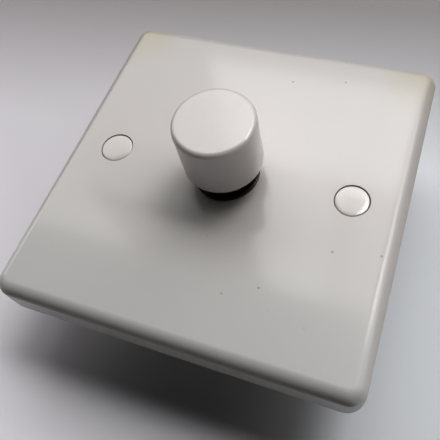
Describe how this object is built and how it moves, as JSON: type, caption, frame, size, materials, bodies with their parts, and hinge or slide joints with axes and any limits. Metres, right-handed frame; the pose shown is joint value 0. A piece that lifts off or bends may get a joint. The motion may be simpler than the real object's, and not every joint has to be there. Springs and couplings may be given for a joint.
{
  "type": "rotary dimmer switch",
  "caption": "Square wall-mounted rotary dimmer with a push-and-turn knob, flush screw caps and a rear electronics module with screw terminals.",
  "frame": {"origin": "centre of the wall plane, midway between the two fixing screws, level with the plate's rear rim", "axes": "+Z out of the wall towards the knob, +Y up the wall, +X to the right as seen from the front"},
  "size_m": [0.086, 0.086, 0.0514],
  "materials": {
    "plate_plastic": "semi-gloss moulded white, slightly yellowed at the edges",
    "cap_plastic": "semi-gloss moulded warm white",
    "knob_plastic": "satin to semi-gloss moulded white",
    "spring_steel": "bright rolled spring steel",
    "nut_black": "black oxide, slightly glossy",
    "washer_black": "dark brown-black oxide",
    "bush_metal": "die-cast zinc with a cut thread",
    "spindle_aluminium": "turned",
    "case_steel": "tin-plated pressed steel",
    "phenolic_brown": "laminated phenolic with a carbon track",
    "tinned_metal": "tin-plated copper",
    "nylon_natural": "natural nylon",
    "phosphor_bronze": "rolled phosphor bronze",
    "phenolic_black": "moulded black phenolic",
    "latch_red": "moulded acetal",
    "contact_brass": "stamped brass with silver faces",
    "sink_aluminium": "rolled sheet",
    "fish_paper": "vulcanised fibre sheet",
    "housing_plastic": "fine spark-textured moulding",
    "screw_steel": "zinc-plated",
    "board_laminate": "paper phenolic board",
    "epoxy_black": "moulded epoxy",
    "powdered_iron": "coated iron powder core",
    "enamelled_copper": "enamelled copper wire",
    "capacitor_yellow": "filled plastic box",
    "film_capacitor_red": "dipped epoxy",
    "resistor_tan": "conformal coating with plain colour bands",
    "diac_glass": "orange glass body",
    "fuse_glass": "clear tube",
    "nickel_plate": "nickel-plated brass",
    "clip_brass": "stamped spring brass",
    "terminal_plastic": "moulded polycarbonate",
    "pillar_brass": "turned and drilled brass",
    "trimmer_blue": "moulded thermoplastic"
  },
  "bodies": {
    "root": {"front_plate": "plate_plastic", "ring_nut": "nut_black", "nut_washer": "washer_black", "potentiometer_bush": "bush_metal", "potentiometer_case": "case_steel", "resistance_track": "phenolic_brown", "potentiometer_tags": "tinned_metal", "switch_case": "phenolic_black", "plunger_spring": "spring_steel", "fixed_contacts": "contact_brass", "heat_sink_plate": "sink_aluminium", "insulating_sheet": "fish_paper", "module_housing": "housing_plastic", "module_screws": "screw_steel", "circuit_board": "board_laminate", "triac_body": "epoxy_black", "triac_metalwork": "tinned_metal", "triac_screw": "screw_steel", "choke_core": "powdered_iron", "choke_winding": "enamelled_copper", "suppression_capacitor": "capacitor_yellow", "timing_capacitors": "film_capacitor_red", "resistors": "resistor_tan", "diac": "diac_glass", "lead_wires": "tinned_metal", "fuse_glass": "fuse_glass", "fuse_wire": "tinned_metal", "fuse_end_caps": "nickel_plate", "fuse_clips": "clip_brass", "terminal_block": "terminal_plastic", "terminal_pillars": "pillar_brass", "trimmer_base": "trimmer_blue"},
    "plunger": {"switch_plunger": "nylon_natural", "contact_bridge": "phosphor_bronze"},
    "latch": {"latch_rotor": "latch_red"},
    "spindle": {"spindle": "spindle_aluminium", "spindle_circlip": "spring_steel"},
    "knob": {"control_knob": "knob_plastic", "knob_spring_clip": "spring_steel"},
    "wiper": {"wiper_rotor": "nylon_natural", "wiper_contact": "phosphor_bronze"},
    "left_cap": {"left_screw_cap": "cap_plastic"},
    "right_cap": {"right_screw_cap": "cap_plastic"},
    "left_screw": {"left_terminal_screw": "screw_steel"},
    "middle_screw": {"middle_terminal_screw": "screw_steel"},
    "right_screw": {"right_terminal_screw": "screw_steel"},
    "trimmer": {"trimmer_rotor": "nylon_natural"}
  },
  "joints": [
    {"name": "knob_push", "type": "slide", "parent": "root", "child": "plunger", "axis": [0, 0, 1], "range_m": [-0.0016, 0], "stiffness_N_per_m": 1500, "springref_m": 0.001, "deforming": ["plunger_spring"]},
    {"name": "knob_turn", "type": "hinge", "parent": "plunger", "child": "spindle", "pos_m": [0, 0, 0], "axis": [0, 0, 1], "range_deg": [-280, 0]},
    {"name": "knob_pull", "type": "slide", "parent": "spindle", "child": "knob", "axis": [0, 0, 1], "range_m": [0, 0.014]},
    {"name": "wiper_turn", "type": "hinge", "parent": "root", "child": "wiper", "pos_m": [0, 0, 0], "axis": [0, 0, 1], "range_deg": [-280, 0]},
    {"name": "latch_turn", "type": "hinge", "parent": "plunger", "child": "latch", "pos_m": [0, 0, 0], "axis": [0, 0, 1], "range_deg": [0, 45.5]},
    {"name": "left_cap_pull", "type": "slide", "parent": "root", "child": "left_cap", "axis": [0, 0, 1], "range_m": [0, 0.008]},
    {"name": "right_cap_pull", "type": "slide", "parent": "root", "child": "right_cap", "axis": [0, 0, 1], "range_m": [0, 0.008]},
    {"name": "left_terminal_screw_drive", "type": "slide", "parent": "root", "child": "left_screw", "axis": [0, 0, 1], "range_m": [0, 0.0021]},
    {"name": "middle_terminal_screw_drive", "type": "slide", "parent": "root", "child": "middle_screw", "axis": [0, 0, 1], "range_m": [0, 0.0021]},
    {"name": "right_terminal_screw_drive", "type": "slide", "parent": "root", "child": "right_screw", "axis": [0, 0, 1], "range_m": [0, 0.0021]},
    {"name": "trimmer_turn", "type": "hinge", "parent": "root", "child": "trimmer", "pos_m": [0.0168, 0, 0], "axis": [0, 0, 1], "range_deg": [0, 220]}
  ],
  "couplings": [
    {"joint": "wiper_turn", "follows": "knob_turn", "ratio": 1},
    {"joint": "latch_turn", "follows": "knob_push", "rad_per_m": -490.87}
  ]
}
